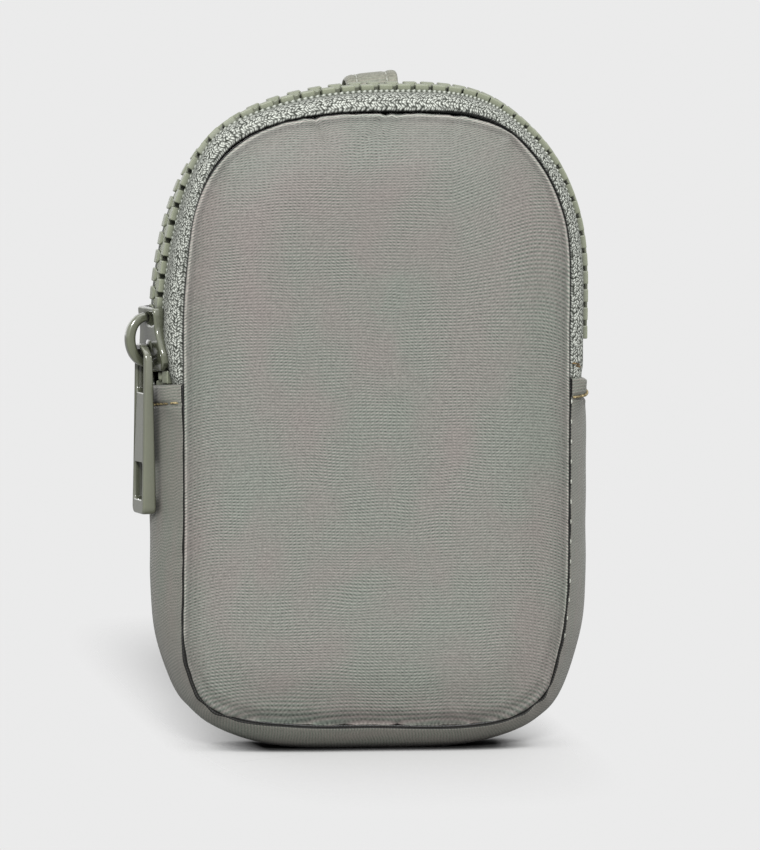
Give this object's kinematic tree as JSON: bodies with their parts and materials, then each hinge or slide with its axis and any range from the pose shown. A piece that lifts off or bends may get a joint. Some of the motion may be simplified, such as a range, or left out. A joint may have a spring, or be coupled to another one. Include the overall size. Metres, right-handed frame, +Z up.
{
  "type": "zip pouch",
  "caption": "Upright padded zip pouch in the shape of a backpack, with an arched zip, slider, long puller and a hang loop.",
  "frame": {"origin": "on the floor, in the middle of the flat underside of the gusset", "axes": "+Z up along the pouch's height, -Y the front panel's side, +X to the right seen from the front"},
  "size_m": [0.1014, 0.0369, 0.1457],
  "materials": {
    "shell_cloth": "satin woven nylon",
    "gusset_cloth": "satin woven nylon",
    "lining_cloth": "plain woven polyester",
    "foam": "soft closed-cell foam",
    "zip_tape": "coarse woven tape",
    "moulded_teeth": "moulded plastic",
    "painted_slider": "satin paint",
    "shell_thread": "twisted thread",
    "tan_thread": "twisted thread"
  },
  "bodies": {
    "pouch": {"front_lower_fabric": "shell_cloth", "front_lower_foam": "foam", "front_lower_lining": "lining_cloth", "front_lower_binding": "lining_cloth", "back_panel_fabric": "shell_cloth", "back_panel_foam": "foam", "back_panel_lining": "lining_cloth", "back_seam_binding": "lining_cloth", "gusset_fabric": "gusset_cloth", "gusset_lining": "lining_cloth", "rear_zip_tape": "zip_tape", "front_tape_left_end": "zip_tape", "front_tape_right_end": "zip_tape", "rear_zip_teeth": "moulded_teeth", "front_teeth_left_end": "moulded_teeth", "front_teeth_right_end": "moulded_teeth", "left_end_stop": "moulded_teeth", "right_end_stop": "moulded_teeth", "left_topstitch": "tan_thread", "right_topstitch": "tan_thread", "right_bar_tack": "tan_thread"},
    "flap": {"front_upper_fabric": "shell_cloth", "front_upper_foam": "foam", "front_upper_lining": "lining_cloth", "front_upper_binding": "lining_cloth", "front_upper_tape": "zip_tape", "front_upper_teeth": "moulded_teeth"},
    "slider": {"slider_body": "painted_slider", "slider_bail": "painted_slider"},
    "puller": {"puller": "painted_slider"},
    "loop": {"hang_loop": "shell_cloth", "loop_stitch_left": "shell_thread", "loop_stitch_right": "shell_thread"}
  },
  "joints": [
    {"name": "slider_run", "type": "hinge", "parent": "pouch", "child": "slider", "pos_m": [-0.00047, 0, 0.09753], "axis": [0, 1, 0], "range_deg": [0, 193], "deforming": ["rear_zip_teeth", "front_upper_teeth", "front_teeth_left_end", "front_teeth_right_end", "rear_zip_tape", "front_upper_tape", "front_tape_left_end", "front_tape_right_end"]},
    {"name": "puller_swing", "type": "hinge", "parent": "slider", "child": "puller", "pos_m": [-0.04957, -0.00037, 0.08655], "axis": [-0.1191, 0.9929, 0], "range_deg": [0, 165]},
    {"name": "flap_fold", "type": "hinge", "parent": "pouch", "child": "flap", "pos_m": [0, -0.0165, 0.0973], "axis": [1, 0, 0], "range_deg": [0, 38], "deforming": ["rear_zip_teeth", "front_upper_teeth"]},
    {"name": "loop_lift", "type": "hinge", "parent": "pouch", "child": "loop", "pos_m": [0, 0.0106, 0.1413], "axis": [1, 0, 0], "range_deg": [0, 60]}
  ]
}
